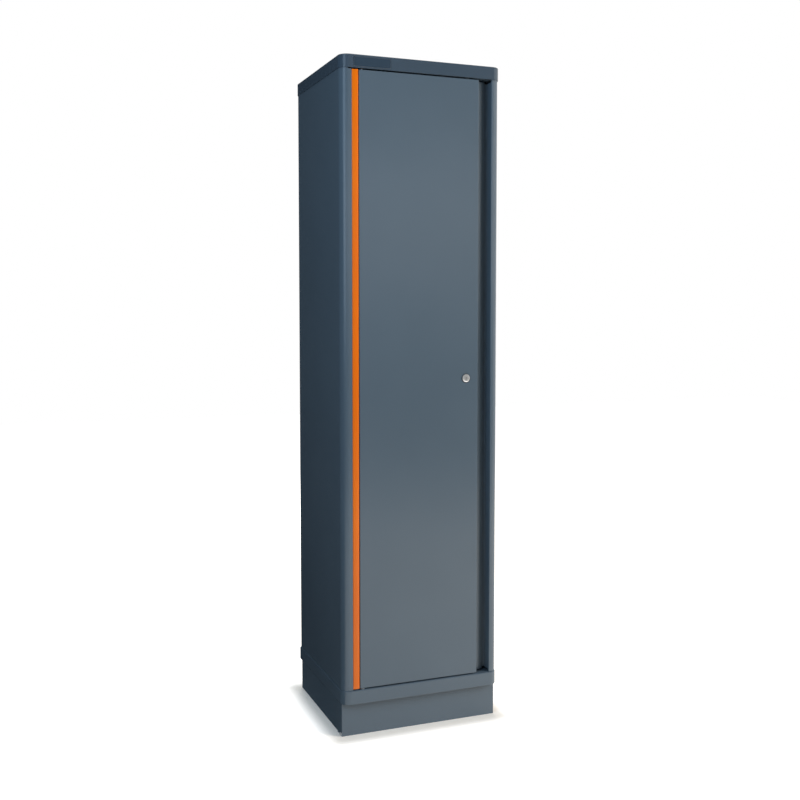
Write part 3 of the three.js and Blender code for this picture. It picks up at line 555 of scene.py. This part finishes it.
# Walls, each one sheet with its post, its stop and its hem
def relieve(wall, inner_low, inner_high):
    """Cuts the inner returns of a post short at both ends, so that the door's pivots have room."""
    relief_y = FACE_Y + END_RELIEF
    relief_low = DECK + END_RELIEF
    relief_high = CAP_BOTTOM - END_RELIEF
    slice_at(wall, 2, relief_low, relief_high)
    slice_at(wall, 1, relief_y)

    def spare(c):
        beyond = c.z < relief_low or c.z > relief_high
        deep = relief_y < c.y < hem_y + BESIDE
        return beyond and deep and inner_low < c.x < inner_high

    cut_away(wall, spare)


def left_wall():
    """Left side and hinge post, with the groove for the strip and a dark slit under the cap."""
    groove_y = FACE_Y + STRIP_DEPTH + GROOVE_PLAY + HALF
    hinge_x = STRIP_RIGHT - HALF
    slit_bottom = CAP_BOTTOM - SLIT_HEIGHT
    wall = folded_sheet([
        (REAR_FLANGE - side_x, rear_y, 0),
        (-side_x, rear_y, BEND),
        (-side_x, post_y, WALL_CORNER - HALF),
        (groove_x, post_y, BEND),
        (groove_x, groove_y, BEND),
        (hinge_x, groove_y, BEND),
        (hinge_x, stop_y, BEND),
        (HINGE_STOP_EDGE, stop_y, BEND),
        (HINGE_STOP_EDGE, hem_y, 0),
    ], WALL_LOW, WALL_HIGH)
    relieve(wall, groove_x + BESIDE, HINGE_STOP_EDGE + BESIDE)
    slice_at(wall, 0, SLIT_START)
    slice_at(wall, 2, slit_bottom, CAP_BOTTOM)

    def slit(c):
        level = slit_bottom < c.z < CAP_BOTTOM
        return level and SLIT_START < c.x < HINGE_STOP_EDGE and c.y < hem_y

    cut_away(wall, slit)
    put("left_wall_sheet", wall, GREY_COAT, "carcass", ["left_wall"], GAUGE)


def right_wall():
    """Right side and pull post, with the door stop and the slot for the lock's tongue."""
    strike_front = FACE_Y + STRIKE_FRONT
    strike_back = FACE_Y + STRIKE_BACK
    wall = folded_sheet([
        (side_x - REAR_FLANGE, rear_y, 0),
        (side_x, rear_y, BEND),
        (side_x, post_y, WALL_CORNER - HALF),
        (pull_x, post_y, BEND),
        (pull_x, stop_y, BEND),
        (STOP_EDGE, stop_y, BEND),
        (STOP_EDGE, hem_y, 0),
    ], WALL_LOW, WALL_HIGH)
    relieve(wall, STOP_EDGE - BESIDE, pull_x + BESIDE)
    slice_at(wall, 1, strike_front, strike_back)
    slice_at(wall, 2, STRIKE_LOW, STRIKE_HIGH)

    def strike(c):
        level = STRIKE_LOW < c.z < STRIKE_HIGH
        return level and abs(c.x - STOP_EDGE) < BESIDE and strike_front < c.y < strike_back

    cut_away(wall, strike)
    put("right_wall_sheet", wall, GREY_COAT, "carcass", ["right_wall"], GAUGE)


def trim_strip():
    """Pressed strip with a soft crown along its front."""
    back = FACE_Y + STRIP_DEPTH
    strip = folded_sheet([
        (STRIP_LEFT, back, 0),
        (STRIP_LEFT, FACE_Y + STRIP_CROWN, STRIP_ROUND),
        ((STRIP_LEFT + STRIP_RIGHT) / 2, FACE_Y - STRIP_CROWN, STRIP_CURVE),
        (STRIP_RIGHT, FACE_Y + STRIP_CROWN, STRIP_ROUND),
        (STRIP_RIGHT, back, 0),
    ], DOOR_LOW, DOOR_HIGH)
    put("trim_strip_bar", strip, ORANGE_COAT, "carcass", ["trim_strip"], GAUGE, -1)


def door_skin():
    """One skin from the hinge-side flange round to the finger pull's channel, with end plates."""
    rear = FACE_Y + DOOR_DEPTH - HALF
    lip_back = FACE_Y + LIP_THICKNESS - HALF
    channel_x = DOOR_LIP - LIP_OVERHANG
    channel_y = FACE_Y + CHANNEL_DEPTH + HALF
    door = folded_sheet([
        (DOOR_LEFT + DOOR_REAR_FLANGE, rear, 0),
        (DOOR_LEFT + HALF, rear, BEND),
        (DOOR_LEFT + HALF, post_y, BEND),
        (DOOR_LIP - HALF, post_y, BEND),
        (DOOR_LIP - HALF, lip_back, BEND),
        (channel_x, lip_back, BEND),
        (channel_x, FACE_Y + CHANNEL_ROOT + HALF, BEND),
        (CHANNEL_END - HALF, channel_y, BEND),
        (CHANNEL_END - HALF, channel_y + CHANNEL_RETURN, 0),
    ], DOOR_LOW, DOOR_HIGH)
    inner_front = FACE_Y + END_PLATE_INSET
    inner_rear = FACE_Y + DOOR_DEPTH - END_PLATE_INSET
    for height in (DOOR_LOW + HALF + END_PLATE_PLAY, DOOR_HIGH - HALF - END_PLATE_PLAY):
        flat_plate(door, (DOOR_LEFT + END_PLATE_INSET, inner_front, height),
                   (channel_x - 2 * GAUGE, inner_rear, height))
        flat_plate(door, (channel_x - END_PLATE_LAP, inner_front, height),
                   (DOOR_LIP - END_PLATE_INSET, lip_back, height))
    put("door_skin_sheet", door, GREY_COAT, "door", ["door_skin"], GAUGE)


top_cap()
base_tray()
left_wall()
right_wall()
trim_strip()
door_skin()


# Smaller parts: the solids, merged to flat faces and with their edges broken
def soften(node, body, slot, edge):
    """Dresses one solid: its triangles are merged to flat faces and its edges get a small break."""
    bm = bmesh.new()
    bm.from_mesh(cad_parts[node].data)
    bmesh.ops.remove_doubles(bm, verts=bm.verts[:], dist=2e-6)
    bmesh.ops.dissolve_limit(bm, angle_limit=math.radians(FLAT_ANGLE), verts=bm.verts[:],
                             edges=bm.edges[:])
    put(node + "_finished", bm, FINISH_OF_SLOT[slot], body, [node], edge=edge)


SHELVES = ["shelf_%d" % number for number in range(1, 5)]
PLACES = [side + "_" + row for side in ("left", "right") for row in ("front", "rear")]
GUIDES = [end + "_guide_" + place for end in ("upper", "lower") for place in ("near", "far")]
SOFTENED = [
    ("carcass", "grey_paint", 0.4, SHELVES + ["ceiling_panel", "back_panel", "plinth_front",
                                              "plinth_left", "plinth_right", "plinth_back"]),
    ("carcass", "zinc", 0.2, [place + "_upright" for place in PLACES]
     + [shelf + "_clip_" + place for shelf in SHELVES for place in PLACES] + ["lower_pivot_pin"]),
    ("carcass", "nylon", 0.4, ["upper_pivot_bush"]),
    ("carcass", "black_plastic", 0.6, ["upper_magnet", "lower_magnet"]),
    ("door", "grey_paint", 0.3, ["door_stiffener"]),
    ("door", "zinc", 0.25, ["upper_pivot_pin", "lock_nut"] + GUIDES),
    ("door", "nylon", 0.4, ["lower_pivot_bush"]),
    ("door", "rubber", 0.6, ["upper_buffer", "lower_buffer"]),
    ("door", "black_plastic", 0.5, ["lock_escutcheon"]),
    ("lock_cylinder", "chrome", 0.3, ["lock_barrel"]),
    ("lock_cylinder", "zinc", 0.3, ["lock_cam", "lock_spacer", "lock_tongue", "lock_screw"]),
    ("upper_rod", "zinc", 0.3, ["upper_rod"]),
    ("lower_rod", "zinc", 0.3, ["lower_rod"]),
]
for body, slot, edge, nodes in SOFTENED:
    for node in nodes:
        soften(node, body, slot, edge)


# Lock body, plate and rivets
def turned(profile, axis_x, axis_z):
    """Spins a profile of (radius, depth behind the door's face) points about a level axis."""
    bm = bmesh.new()
    points = [bm.verts.new((radius * MM, depth * MM, 0)) for radius, depth in profile]
    edges = [bm.edges.new(pair) for pair in zip(points, points[1:])]
    bmesh.ops.spin(bm, geom=points + edges, cent=(0, 0, 0), axis=(0, 1, 0), angle=2 * math.pi,
                   steps=TURNED_STEPS, use_merge=True)
    bmesh.ops.remove_doubles(bm, verts=bm.verts[:], dist=1e-6)
    bmesh.ops.recalc_face_normals(bm, faces=bm.faces[:])
    bmesh.ops.translate(bm, verts=bm.verts[:], vec=(axis_x * MM, FACE_Y * MM, axis_z * MM))
    return bm


def lock_body():
    """Turned shell with a domed head round the barrel."""
    head = [
        (BARREL_HOLE, LOCK_BACK), (BARREL_HOLE, -2.9), (BARREL_HOLE + 0.4, -3.25), (8.4, -3.15),
        (9.8, -2.9), (10.9, -2.55), (11.6, -2.2), (LOCK_HEAD, -1.9), (LOCK_HEAD, -1.6),
        (LOCK_SHANK, -1.5), (LOCK_SHANK, LOCK_BACK), (BARREL_HOLE, LOCK_BACK),
    ]
    put("lock_body_shell", turned(head, LOCK_X, LOCK_Z), CHROME, "door", ["lock_body"],
        edge=0)


def bare_plate():
    """Plate on the front of the cap: a dark field inside a bright rim."""
    cap_face = -DEPTH / 2
    right = PLATE_LEFT + PLATE_WIDTH
    front = cap_face - PLATE_THICK
    rim = soft_block((PLATE_LEFT, front, PLATE_LOW),
                     (right, cap_face + PLATE_SINK, PLATE_HIGH), PLATE_EDGE)
    put("plate_rim", rim, PLATE_RIM, "carcass", edge=0)
    field = soft_block((PLATE_LEFT + PLATE_BORDER, front - FIELD_RISE, PLATE_LOW + PLATE_BORDER),
                       (right - PLATE_BORDER, cap_face, PLATE_HIGH - PLATE_BORDER), FIELD_EDGE)
    put("plate_field", field, PLATE_DARK, "carcass", edge=0)


def back_rivets():
    """Blind rivets that hold the back panel to the rear flanges of the walls."""
    bm = bmesh.new()
    for column in (-RIVET_COLUMN, RIVET_COLUMN):
        for step in range(RIVET_COUNT):
            height = RIVET_LOW + (RIVET_HIGH - RIVET_LOW) * step / (RIVET_COUNT - 1)
            head = bmesh.ops.create_uvsphere(bm, u_segments=16, v_segments=8,
                                             radius=RIVET_HEAD * MM)["verts"]
            bmesh.ops.scale(bm, verts=head, vec=(1, RIVET_RISE / RIVET_HEAD, 1))
            bmesh.ops.translate(bm, verts=head, vec=(column * MM, BACK_FACE * MM, height * MM))
    put("back_rivets", bm, GREY_COAT, "carcass", edge=0)


lock_body()
bare_plate()
back_rivets()


# Studio: a pale floor, a white surround, soft lamps and dark flags
def white_floor_paint():
    """Matt white that shows itself brighter to the camera, less so close round the locker: painted
    shade at its base, over the locker's real shadow.
    """
    paint = bpy.data.materials.new("matt_white_floor")
    tree = cleared_tree(paint)
    matt = add_node(tree, "ShaderNodeBsdfDiffuse", inputs={"Color": linear(FLOOR_COLOUR)})
    # How far a point of the floor lies outside the locker's footprint
    place = add_node(tree, "ShaderNodeTexCoord").outputs["Object"]
    offset = add_node(tree, "ShaderNodeVectorMath", {0: place}, operation="ABSOLUTE")
    past = add_node(tree, "ShaderNodeVectorMath", {0: offset.outputs["Vector"]},
                    {1: (WIDTH / 2 * MM, DEPTH / 2 * MM, 0)}, operation="SUBTRACT")
    beside = add_node(tree, "ShaderNodeVectorMath", {0: past.outputs["Vector"]}, {1: (0, 0, 0)},
                      operation="MAXIMUM")
    away = add_node(tree, "ShaderNodeVectorMath", {0: beside.outputs["Vector"]}, operation="LENGTH")
    # Less glow close to the footprint: painted shade round the base of the locker, over its real
    # shadow
    glow = add_node(tree, "ShaderNodeMapRange", {"Value": away.outputs["Value"]},
                    {"From Min": 0.0, "From Max": FLOOR_SHADE_REACH, "To Min": FLOOR_GLOW, "To Max": 1.0},
                    interpolation_type="SMOOTHSTEP")
    path = add_node(tree, "ShaderNodeLightPath")
    shown = add_node(tree, "ShaderNodeMath", {0: glow.outputs["Result"],
                                              1: path.outputs["Is Camera Ray"]},
                     operation="MULTIPLY")
    mirrored = add_node(tree, "ShaderNodeMath", {0: path.outputs["Is Glossy Ray"]},
                        {1: FLOOR_MIRRORED}, operation="MULTIPLY")
    strength = add_node(tree, "ShaderNodeMath", {0: shown.outputs[0], 1: mirrored.outputs[0]},
                        operation="MAXIMUM")
    white = add_node(tree, "ShaderNodeEmission", {"Strength": strength.outputs[0]},
                     {"Color": (1, 1, 1, 1)})
    both = add_node(tree, "ShaderNodeAddShader", {0: matt.outputs["BSDF"],
                                                  1: white.outputs["Emission"]})
    add_node(tree, "ShaderNodeOutputMaterial", {"Surface": both.outputs["Shader"]})
    return paint


def white_surround():
    """White for the camera and for reflections, and an even low light for everything else."""
    world = bpy.data.worlds.new("studio")
    bpy.context.scene.world = world
    tree = cleared_tree(world)
    path = add_node(tree, "ShaderNodeLightPath")
    direct = add_node(tree, "ShaderNodeMath", {0: path.outputs["Is Camera Ray"],
                                               1: path.outputs["Is Glossy Ray"]},
                      operation="MAXIMUM")
    shown = add_node(tree, "ShaderNodeMath", {0: direct.outputs[0],
                                              1: path.outputs["Is Transmission Ray"]},
                     operation="MAXIMUM")
    level = add_node(tree, "ShaderNodeMapRange", {"Value": shown.outputs[0]},
                     {"To Min": AMBIENT, "To Max": 1.0})
    tint = add_node(tree, "ShaderNodeMix", {"Factor": shown.outputs[0]},
                    {"A": linear(AMBIENT_TINT), "B": (1, 1, 1, 1)}, data_type="RGBA")
    sky = add_node(tree, "ShaderNodeBackground", {"Strength": level.outputs["Result"],
                                                  "Color": tint.outputs["Result"]})
    add_node(tree, "ShaderNodeOutputWorld", {"Surface": sky.outputs["Background"]})


def soft_lamp(name, place, aim, size, power, tint="#FFFFFF", mirrored=False):
    """A softbox that points from its place to its aim; mirrored ones show in glossy surfaces."""
    lamp = bpy.data.lights.new(name, "AREA")
    lamp.shape = "RECTANGLE"
    lamp.size, lamp.size_y = size
    lamp.energy = power
    lamp.color = linear(tint)[:3]
    holder = bpy.data.objects.new(name, lamp)
    holder.location = place
    holder.rotation_euler = (Vector(aim) - Vector(place)).to_track_quat("-Z", "Y").to_euler()
    holder.visible_glossy = mirrored
    bpy.context.scene.collection.objects.link(holder)


def flag_cloth():
    """Near-black cloth with an even faint glow."""
    cloth = bpy.data.materials.new("grey_flag_cloth")
    tree = cleared_tree(cloth)
    glow = add_node(tree, "ShaderNodeEmission",
                    inputs={"Color": (1, 1, 1, 1), "Strength": FLAG_LEVEL})
    add_node(tree, "ShaderNodeOutputMaterial", {"Surface": glow.outputs["Emission"]})
    return cloth


def dark_flag(name, cloth, start, stop, line, takes_bounce=False):
    """Spins a line of (reach, height) points from one bearing to another.

    The camera doesn't see a flag, and reflections do. One that takes bounce also darkens
    matt surfaces.
    """
    bm = bmesh.new()
    points = [bm.verts.new((0, -reach, height)) for reach, height in line]
    edges = [bm.edges.new(pair) for pair in zip(points, points[1:])]
    first = Matrix.Rotation(math.radians(start), 3, "Z")
    bmesh.ops.rotate(bm, verts=points, cent=(0, 0, 0), matrix=first)
    bmesh.ops.spin(bm, geom=points + edges, cent=(0, 0, 0), axis=(0, 0, 1),
                   angle=math.radians(stop - start), steps=FLAG_STEPS)
    flag = new_object(name, bm, cloth)
    flag.visible_camera = False
    flag.visible_diffuse = takes_bounce
    flag.visible_shadow = False


ground = bmesh.new()
bmesh.ops.create_grid(ground, x_segments=1, y_segments=1, size=FLOOR_HALF)
new_object("studio_floor", ground, white_floor_paint())
white_surround()

soft_lamp("key_softbox", place=(3.4, -2.85, 2.6), aim=(0, 0, 1.0), size=(1.8, 2.4),
          power=KEY_POWER, tint=KEY_TINT)
soft_lamp("left_softbox", place=(-1.6, -1.3, 2.2), aim=(-0.25, -0.1, 1.2), size=(1.0, 1.2),
          power=LEFT_POWER, tint=COOL_TINT)
soft_lamp("left_edge_lamp", place=(-2.7, -2.3, 2.2), aim=(0, 0, 1.2), size=(1.6, 2.4),
          power=EDGE_POWER, tint=COOL_TINT, mirrored=True)
soft_lamp("back_softbox", place=(0.9, 3.9, 2.4), aim=(0, 0, 1.0), size=(2.2, 2.2), power=BACK_POWER)
soft_lamp("top_softbox", place=(0, 0.3, 4.6), aim=(0, 0.1, 2.0), size=(1.8, 1.8), power=TOP_POWER)

# Two flags in front with a bright window between them, a tall one behind that also lies on the
# floor, and a cloth on the floor at the left
cloth = flag_cloth()
dark_flag("low_front_flag", cloth, -FRONT_FLAG_EDGE, FRONT_FLAG_EDGE,
          [(FLAG_DISTANCE, 0), (FLAG_DISTANCE, FRONT_WINDOW_LOW)])
dark_flag("high_front_flag", cloth, -FRONT_FLAG_EDGE, FRONT_FLAG_EDGE,
          [(FLAG_DISTANCE, FRONT_WINDOW_HIGH), (FLAG_DISTANCE, FLAG_TOP)])
dark_flag("rear_flag", cloth, REAR_FLAG_START, 360 - FRONT_FLAG_EDGE,
          [(FLAG_INNER, FLAG_LIFT), (FLAG_DISTANCE, FLAG_LIFT), (FLAG_DISTANCE, FLAG_TOP)])
dark_flag("left_floor_flag", cloth, LEFT_CLOTH_START, LEFT_CLOTH_STOP,
          [(LEFT_CLOTH_INNER, 2 * FLAG_LIFT), (LEFT_CLOTH_REACH, 2 * FLAG_LIFT)], takes_bounce=True)

# Camera at the photograph's place
lens = bpy.data.cameras.new("camera")
lens.lens = CAMERA_LENS
lens.sensor_width = CAMERA_SENSOR
lens.shift_y = CAMERA_SHIFT
camera = bpy.data.objects.new("camera", lens)
camera.location = CAMERA_PLACE
camera.rotation_euler = (math.radians(90 - CAMERA_DOWN), 0, -math.radians(CAMERA_RIGHT))
bpy.context.scene.collection.objects.link(camera)
bpy.context.scene.camera = camera
bpy.context.scene.view_settings.view_transform = "Standard"
